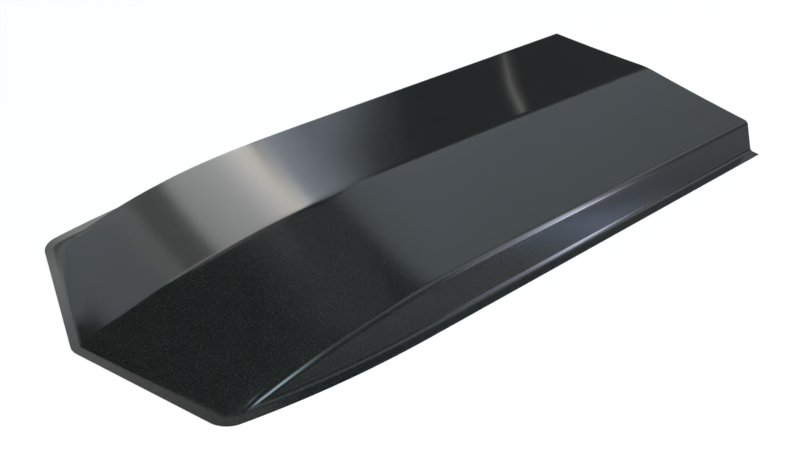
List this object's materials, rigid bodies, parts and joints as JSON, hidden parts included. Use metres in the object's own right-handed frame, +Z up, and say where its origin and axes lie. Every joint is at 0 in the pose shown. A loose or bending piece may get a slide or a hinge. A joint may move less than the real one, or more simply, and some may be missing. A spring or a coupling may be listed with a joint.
{
  "type": "hood scoop",
  "caption": "Cowl hood scoop: long low pressed-steel shell with a swept nose, centre ridge, leaning side walls, a flat weld flange round front and sides, and an open rear.",
  "frame": {"origin": "middle of the plan on the underside plane of the weld flange", "axes": "+Z up from the hood, nose toward -Y, open rear toward +Y, +X across the scoop"},
  "size_m": [0.58, 1.3, 0.083],
  "materials": {
    "black_primer": "satin black electro-coat primer, softly reflective"
  },
  "bodies": {
    "root": {"scoop_shell": "black_primer"}
  },
  "joints": []
}
